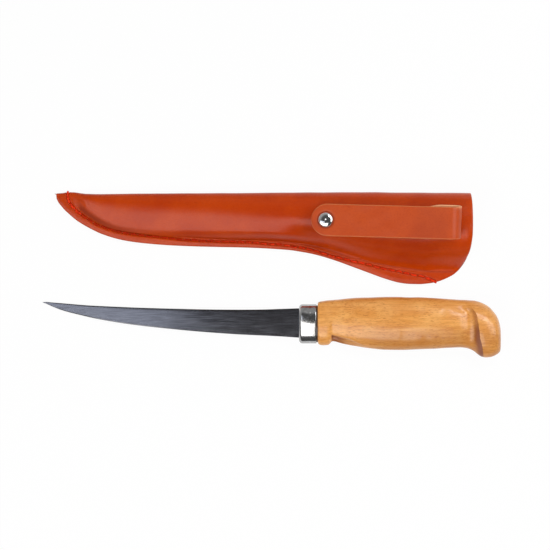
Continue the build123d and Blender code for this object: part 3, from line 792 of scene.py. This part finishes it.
def strap_piece(name, line, from_end, aside, round_start=False, ring_at=None):
    """Sweeps the strap's ring along a side line of x and z, each ring moved aside in y.

    from_end is the length of strap before the line, and ring_at the x of the snap cap's dent.
    """
    ahead = unit(np.gradient(line, axis=0))
    out = np.stack([-ahead[:, 1], ahead[:, 0]], 1)
    run = along(line)
    verts, edge, painted_light, painted_shade = [], [], [], []
    for i, (x, z) in enumerate(line):
        rounded = round_start and run[i] < HALF
        width, thick = strap_end(run[i]) if rounded else (HALF, STRAP)
        ring, near = strap_ring(width, thick)
        if rounded:
            near = np.minimum(near, HALF - np.hypot(HALF - run[i], ring[:, 0]))
        y = ring[:, 0] + aside[i]
        local = np.column_stack([np.full(len(y), from_end + run[i]), ring[:, 0]])
        lift = 0.05 * waves(local, 12.0, 11) * np.clip(near / 0.8, 0, 1)
        dent = np.zeros(len(y))
        if ring_at is not None:
            gap = np.hypot(x - ring_at, y)
            dent = 0.36 * np.exp(-((gap - 4.7) / 0.6)**2) * (ring[:, 1] > 0) * (thick > STRAP * 0.8)
        z_off = ring[:, 1] + (lift - dent) * (thick / STRAP)
        verts.append(np.column_stack([x + out[i, 0] * z_off, y, z + out[i, 1] * z_off]))
        near = np.maximum(near, 0)
        edge.append(np.exp(-(near / 0.25)**2))
        # painted light on the peeking raw edge of the back leaf and the fold
        painted_light.append(0.77 * aside[i] * (ring[:, 0] > 0) * np.exp(-(near / 1.2)**2))
        # painted shade: a dark ring in the dent round the snap cap, and deeper colour towards the strap's
        # ends
        painted_shade.append(np.clip(dent * 1.3 + strap_shade(x), 0, 1))
    faces = tube_faces(len(verts), len(verts[0]))
    obj = mesh_object(name, to_row(np.concatenate(verts)), faces, strap_mat)
    obj.data.set_sharp_from_angle(angle=math.radians(60))
    for key, values in (("edge", edge), ("painted_light", painted_light), ("painted_shade", painted_shade)):
        point_values(obj, key, np.concatenate(values))
    return obj


def front_line(x):
    """Middle line of the front leaf."""
    t = np.clip((x - FLAT) / (FOLD_X - FLAT), 0, 1)
    low, high = FRONT_Z, FOLD_Z + FOLD_OUT - STRAP
    return low + (high - low) * (3 * t**2 - 2 * t**3) + STRAP / 2


def back_line(x):
    """Middle line of the back leaf."""
    return np.full(len(x), BACK_Z + STRAP / 2)


def build_strap():
    leaf = np.concatenate([-REACH + HALF * np.linspace(0, 1, 26)**2.2,
                           np.linspace(HALF - REACH, JOIN, 110)[1:]])
    front_side = np.column_stack([leaf, front_line(leaf)])
    length = np.linalg.norm(np.diff(front_side, axis=0), axis=1).sum()
    front = strap_piece("strap_front", front_side, 0.0, np.zeros(len(leaf)), True, 0.0)
    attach(front, "loop_front")
    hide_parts("belt_loop_front")
    back = strap_piece("strap_back", np.column_stack([leaf, back_line(leaf)]), 120.0,
                       ASIDE * ease((leaf - 58.0) / 9.0), True)
    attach(back, "loop_back")
    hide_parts("belt_loop_back")
    angle = np.radians(np.linspace(90, -90, 60))
    radius = FOLD_OUT - STRAP / 2
    x_in = np.linspace(JOIN, FOLD_X, 9)[:-1]
    arc = np.column_stack([FOLD_X + radius * np.cos(angle), FOLD_Z + radius * np.sin(angle)])
    line = np.concatenate([np.column_stack([x_in, front_line(x_in)]), arc,
                           np.column_stack([x_in[::-1], back_line(x_in)])])
    share = np.arange(len(line)) / (len(line) - 1)
    fold = strap_piece("strap_fold", line, length, ASIDE * ease((share - 0.1) / 0.7))
    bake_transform(fold)


# Snap

def lathe(name, profile, sides, material):
    """Turned piece about the snap's axis, from radius and height in mm."""
    angle = np.linspace(0, 2 * np.pi, sides, endpoint=False)
    verts = [np.column_stack([radius * np.cos(angle), radius * np.sin(angle), np.full(sides, height)])
             for radius, height in profile]
    obj = mesh_object(name, to_row(np.concatenate(verts)), tube_faces(len(profile), sides), material)
    close_faces(obj)
    return obj


def build_cap():
    shank, rim, dome = 1.3, 4.4, 4.3
    base = FRONT_Z + STRAP
    profile = [(shank, base - 2.4), (shank, base - 0.05), (3.9, base - 0.05), (4.25, base + 0.02),
               (rim, base + 0.2), (rim, base + 0.42), (dome, base + 0.58)]
    for t in np.linspace(0, 1, 22)[1:]:
        r = dome * (1 - t)
        z = base + 0.58 + 1.3 * math.sqrt(max(1 - (r / rim)**2.4, 0))
        dimple = 0.16 * math.exp(-(r / 0.42)**2)
        profile.append((max(r, 0.02), z - dimple))
    cap = lathe("snap_cap_dome", profile, 96, plate_mat)
    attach(cap, "loop_front")
    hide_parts("snap_cap")


# Knife, laid down so that its point and its belly touch the floor, with its thickness at both in mm,
# and the height of its middle plane at the point
BELLY_PX = 394.0
TIP_THICK, BELLY_THICK = 0.9, 17.0
KNIFE_ANGLE = math.asin((BELLY_THICK - TIP_THICK) / 2 / ((BELLY_PX - TIP_PX) * PX / MM))
KNIFE_DROP = 0.49


def lay(points):
    """Knife points in mm, on its own middle plane, to the row frame."""
    p = np.asarray(points, float)
    x_tip = float(wx(TIP_PX)) / MM
    dx = p[:, 0] - x_tip
    x = x_tip + dx * math.cos(KNIFE_ANGLE) - p[:, 2] * math.sin(KNIFE_ANGLE)
    z = dx * math.sin(KNIFE_ANGLE) + p[:, 2] * math.cos(KNIFE_ANGLE) + KNIFE_DROP
    return np.column_stack([x, p[:, 1], z]) * MM


SPINE = [(42, 302.2), (46, 302.0), (50, 302.4), (56, 302.9), (60, 303.2), (74, 304.4), (90, 305.6),
         (100, 306.1), (120, 307.0), (140, 307.8), (160, 308.4), (180, 308.9), (200, 309.4), (220, 309.65),
         (240, 309.75), (260, 309.6), (280, 309.0), (299.6, 308.3)]
EDGE = [(42, 302.7), (44, 303.3), (46, 304.1), (50, 305.9), (56, 308.4), (60, 309.9), (70, 312.8),
        (80, 315.2), (90, 317.6), (100, 319.7), (120, 323.1), (140, 325.8), (160, 328.0), (180, 330.0),
        (200, 331.8), (220, 333.3), (240, 334.6), (260, 335.5), (280, 336.5), (299.6, 337.8)]


def build_blade():
    columns = np.concatenate([42.05 + 14 * np.linspace(0, 1, 30)**1.8, np.linspace(56.5, 299.6, 300)])
    grind = np.linspace(0, 1, 15)[1:]
    marks = [0] * (len(grind) + 1) + [0.2, 1, 1]
    verts = []
    for x in columns:
        share = (x - TIP_PX) / (HEEL_PX - TIP_PX)
        half = (TIP_THICK + 0.9 * share) / 2
        top, low = float(wy(smooth(SPINE, 1, x))) / MM, float(wy(smooth(EDGE, 1, x))) / MM
        height = top - low
        bevel = min(half * float(np.interp(x, [150, 210], [0.85, 0.62])), height * 0.2)
        keen = half * (1 - 0.64 * min(1.0, height / 8))
        side = [(top, half * 0.8), (top - 0.12 * min(1, height), half * 0.96)]
        side += [(top - 0.15 - (height - bevel - 0.15) * g, half - (half - keen) * g**1.2) for g in grind]
        side += [(low + bevel * 0.5, keen * 0.53), (low + 0.02, 0.02)]
        x_mm = float(wx(x)) / MM
        verts.append([(x_mm, y, z) for y, z in side] + [(x_mm, y, -z) for y, z in side[::-1]])
    faces = tube_faces(len(columns), len(verts[0]))
    obj = mesh_object("blade_ground", lay(np.concatenate(verts)), faces, steel_mat)
    point_values(obj, "edge", (marks + marks[::-1]) * len(columns))
    obj.data.set_sharp_from_angle(angle=math.radians(12))
    close_faces(obj)
    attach(obj, "knife")
    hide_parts("blade")


def oval_ring(x, top, low, half, sides, power=2.15, lean_up=0.04):
    """Egg-shaped ring across the knife: top and low in pixels, half its thickness in mm.

    lean_up moves its thickest place off the middle, as a share of its height.
    """
    high, bottom = float(wy(top)) / MM, float(wy(low)) / MM
    crest = (high + bottom) / 2 + lean_up * (high - bottom)
    a = np.linspace(0, 2 * np.pi, sides, endpoint=False)
    c, s = np.cos(a), np.sin(a)
    reach = np.where(c > 0, high - crest, crest - bottom)
    y = crest + reach * np.sign(c) * abs(c)**(2 / power)
    z = half * np.sign(s) * abs(s)**(2 / power)
    return np.column_stack([np.full(sides, float(wx(x)) / MM), y, z])


def build_ferrule():
    sides, rounding = 144, 2.1
    reach = rounding * MM / PX
    stations = sorted((HEEL_PX + reach * (1 - math.sin(v)), rounding * (1 - math.cos(v)))
                      for v in np.radians(np.linspace(0, 90, 16)))
    stations += [(x, 0.0) for x in np.linspace(303.2, 316.2, 20)] + [(316.6, 0.08), (316.8, 0.3)]
    verts = []
    for x, inset in stations:
        cut = inset * MM / PX
        crown = 0.12 * (1 - ((x - 308.5) / 8)**2)
        skew = float(np.interp(x, [299, 303, 312.5, 316.8], [0.22, 0.21, 0.13, 0.17]))
        verts.append(oval_ring(x, 304.2 + cut, 343.5 - cut, 6.0 + crown - inset, sides, 2.0, skew))
    faces = tube_faces(len(verts), sides)
    obj = mesh_object("ferrule_cap", lay(np.concatenate(verts)), faces, ferrule_mat)
    close_faces(obj)
    obj.data.set_sharp_from_angle(angle=math.radians(50))
    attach(obj, "knife")
    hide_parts("ferrule")


# Handle outline in pixels, with half its thickness in mm: x, top y, bottom y, half thickness. Then the
# crease's x at each y, and half the butt's thickness at each x
HANDLE = [(318.0, 304.0, 341.5, 5.2), (318.3, 302.6, 343.0, 6.0), (319.2, 301.9, 344.3, 6.45),
          (321, 301.4, 345.1, 6.65), (324, 301.0, 345.4, 6.7), (327, 300.5, 345.3, 6.7),
          (329, 300.3, 344.8, 6.65), (330.3, 300.2, 343.8, 6.6), (331.6, 300.1, 342.2, 6.5),
          (333.2, 300.0, 341.4, 6.45), (335, 299.7, 341.7, 6.5), (340, 299.3, 343.0, 6.8),
          (346, 298.7, 344.3, 7.05), (354, 298.0, 345.9, 7.35), (362, 297.5, 347.2, 7.7),
          (370, 297.2, 348.3, 7.95), (386, 296.9, 349.8, 8.4), (402, 297.0, 350.0, 8.5),
          (418, 297.2, 349.5, 8.5), (434, 298.0, 348.8, 8.3), (450, 299.1, 347.8, 8.05),
          (460, 299.7, 347.4, 7.85), (466, 300.0, 347.9, 7.7), (470, 300.25, 348.9, 7.6),
          (474, 300.5, 350.9, 7.55), (478, 301.4, 354.2, 7.5), (482, 302.7, 356.8, 7.45),
          (486, 304.6, 357.5, 7.4), (490, 307.3, 357.2, 7.2), (494, 311.7, 356.0, 6.6),
          (497, 315.9, 354.5, 5.9), (499, 320.5, 352.9, 5.0), (500.3, 325.5, 351.3, 3.9),
          (500.9, 329.5, 349.0, 2.9), (501.15, 334, 344.5, 1.4), (501.2, 337.5, 341, 0.4)]
CREASE = [(294, 466), (306, 471), (314, 476.5), (328, 479.2), (338, 480.4), (347, 482.5), (362, 484)]
BUTT = [(466, 9.0), (474, 9.2), (482, 9.3), (487, 9.15), (491.5, 8.8), (495.5, 8.1), (498.3, 7.0),
        (500.2, 5.2), (501.0, 3.2), (501.2, 0.5)]


def handle_ring(x, sides):
    """Ring of the handle at a pixel column, and how much painted shade darkens its colour at each point."""
    top, low, half = (float(smooth(HANDLE, c, x)) for c in (1, 2, 3))
    ring = oval_ring(x, top, low, half, sides)
    row = y_px(ring[:, 1])
    past = x - smooth(CREASE, 1, row)
    crisp = ease((row - 302) / 10)
    climb = np.clip((past + 11) / 11, 0, 1)
    step = climb**2.1 * crisp + ease((past + 14) / 30) * (1 - crisp)
    butt = float(smooth(BUTT, 1, x)) / half if x > 440 else 1.0
    hollow = 1.4 * np.exp(-(np.minimum(past + 8, 0) / 8.0)**2) * (1 - np.clip((past + 8) / 8, 0, 1)**2)
    hollow = hollow * crisp * ease((358 - row) / 9)
    line = np.interp(x, [332, 334, 350, 362, 380], [334.0, 334.6, 338.4, 344.4, 352])
    facet = ease((x - 331.7) / 1.2) * ease((row - line) / 1.8) * math.exp(-max(x - 338, 0) / 20.0)
    notch = 2.4 * facet * (abs(ring[:, 2]) > 0.05)
    size = abs(ring[:, 2]) * (1 + (butt - 1) * step)
    ring[:, 2] = np.sign(ring[:, 2]) * np.maximum(size - hollow - notch, 0.4 * size)
    # painted shade: darker in the crease before the butt, along the lower side, in the notch behind the
    # collar, and as a dark line at the collar's front
    shade = 0.66 * np.exp(-((past + 1.0) / 4.5)**2) * (past < 0.2) * crisp
    shade = shade * (0.65 + 0.35 * ease((row - 318) / 16))
    belly = 0.36 * ease((row - 319) / 19) * float(np.interp(x, [340, 380, 460, 486], [0, 1, 1, 0.8]))
    painted_shade = shade + belly + 0.72 * facet * math.exp(-max(x - 342, 0) / 16.0)
    return ring, np.clip(painted_shade, 0, 0.9) + (0.2 if x < 318.25 else 0.0)


def build_handle():
    columns = np.concatenate([np.linspace(318, 336, 90), np.linspace(336, 468, 300)[1:],
                              np.linspace(468.2, 494, 170), 494.2 + 7.0 * np.linspace(0, 1, 46)**0.55])
    sides, neck_sides = 220, 96
    rings, painted_shade = zip(*(handle_ring(x, sides) for x in columns))
    grid = np.array(rings)
    flat = grid.reshape(-1, 3)
    normal = grid_normals(grid).reshape(-1, 3)
    centre = grid.mean(axis=1, keepdims=True)
    outward = np.sign(((grid - centre).reshape(-1, 3) * normal).sum(1, keepdims=True))
    carve = waves(flat[:, [0, 1]], 16.0, 21) * 0.06 + waves(flat[:, [0, 2]], 9.0, 22) * 0.03
    flat = flat + normal * outward * np.minimum(carve, 0.02)[:, None]
    obj = mesh_object("handle_carved", lay(flat), tube_faces(len(columns), sides), wood_mat)
    point_values(obj, "painted_shade", np.concatenate(painted_shade))
    close_faces(obj)
    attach(obj, "knife")
    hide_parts("handle")
    # painted shade: the tenon in the gap behind the ferrule gets full shade value, so it renders nearly
    # black
    neck = [oval_ring(x, 305.4, 342.3, 5.5, neck_sides) for x in np.linspace(316.2, 318.9, 6)]
    faces = tube_faces(len(neck), neck_sides)
    tenon = mesh_object("handle_tenon", lay(np.concatenate(neck)), faces, wood_mat)
    point_values(tenon, "painted_shade", np.ones(len(tenon.data.vertices)))
    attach(tenon, "knife")
    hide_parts("handle")


def dress_frame():
    """Materials on the CAD nodes that stay as they are."""
    looks = {"snap_post": plate_mat, "snap_stud": plate_mat, "snap_socket": plate_mat,
             "socket_spring": spring_mat, "tang_epoxy": resin_mat}
    for name, material in looks.items():
        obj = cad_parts[name]
        obj.data.materials.clear()
        obj.data.materials.append(material)


# Lights and camera

def panel(name, low, high, height, level, color=(1, 1, 1)):
    """Softbox that faces down, from its low to its high corner in x and y, with a level of radiance."""
    light = bpy.data.lights.new(name, "AREA")
    light.shape = "RECTANGLE"
    light.size, light.size_y = high[0] - low[0], high[1] - low[1]
    light.energy = math.pi * light.size * light.size_y * level
    light.color = color
    obj = bpy.data.objects.new(name, light)
    bpy.context.scene.collection.objects.link(obj)
    obj.location = ((low[0] + high[0]) / 2, (low[1] + high[1]) / 2, height)
    obj.visible_camera = False


def build_world():
    """Studio: white along the horizon, dim walls, and a dark ceiling that the steel mirrors."""
    world = bpy.data.worlds.new("studio")
    bpy.context.scene.world = world
    world.use_nodes = True
    tree = world.node_tree
    shade = tree.nodes["Background"]
    where = tree.nodes.new("ShaderNodeTexCoord")
    split = tree.nodes.new("ShaderNodeSeparateXYZ")
    tree.links.new(where.outputs["Generated"], split.inputs[0])

    def span(axis, low, high, to_low, to_high):
        return map_range(tree, split.outputs[axis], low, high, to_low, to_high)

    walls = span("Y", -0.6, 0.4, 0.1, 0.4)
    ceiling = span("Z", 0.78, 0.95, walls, 0.09)
    level = span("Z", 0.07, 0.16, 1.0, ceiling)
    tree.links.new(level, shade.inputs["Color"])
    shade.inputs["Strength"].default_value = 1.0


def build_floor():
    """Pale floor, white to the camera and in mirrors, that keeps a faint shadow of the object."""
    n = Nodes("floor_paper")
    paper = n.noise(0.02, 2, 0.5)
    n.set(color=n.mix(paper, srgb(238, 238, 238), srgb(244, 244, 244)), rough=0.9, spec=0.1)
    glow = n.node("Emission", Color=(1, 1, 1, 1))
    path = n.node("LightPath")
    seen = n.calc(path.outputs["Is Camera Ray"], path.outputs["Is Glossy Ray"], "MAXIMUM")
    seen = n.calc(seen, path.outputs["Is Transmission Ray"], "MAXIMUM")
    mix = n.node("MixShader")
    n.link(n.calc(seen, 0.96, "MULTIPLY"), mix.inputs[0])
    n.link(n.shader.outputs[0], mix.inputs[1])
    n.link(glow.outputs[0], mix.inputs[2])
    n.link(mix.outputs[0], n.tree.nodes["Material Output"].inputs["Surface"])
    size, height = 3.0, -0.0003
    corners = [(x * size, y * size, height) for x, y in ((-1, -1), (1, -1), (1, 1), (-1, 1))]
    mesh_object("floor", corners, [(0, 1, 2, 3)], n.material)


def build_lights():
    panel("key", (-0.95, -0.9), (0.1, -0.2), 0.9, 3.75, (1.0, 0.985, 0.96))
    panel("side", (0.3, -0.1), (0.8, 0.35), 0.6, 3.2)
    panel("fill", (0.18, 0.3), (0.62, 0.66), 0.9, 6.0, (0.98, 0.99, 1.0))
    panel("cool", (-0.8, -0.15), (-0.15, -0.05), 0.9, 1.3, (0.8, 0.86, 1.0))


def build_camera():
    """Camera straight above the middle of the photo, far enough off to see it nearly flat."""
    photo_px, distance, middle_height = 550, 3.0, 0.01
    camera = bpy.data.cameras.new("camera")
    camera.type = "PERSP"
    camera.sensor_width = 36.0
    camera.lens = 36.0 * (distance - middle_height) / (photo_px * PX)
    camera.clip_end = 20.0
    obj = bpy.data.objects.new("camera", camera)
    bpy.context.scene.collection.objects.link(obj)
    obj.location = (float(wx(photo_px / 2)), float(wy(photo_px / 2)), distance)
    bpy.context.scene.camera = obj


build_sheath()
build_threads()
build_strap()
build_cap()
build_blade()
build_ferrule()
build_handle()
dress_frame()
build_world()
build_floor()
build_lights()
build_camera()
bpy.context.scene.view_settings.view_transform = "Standard"
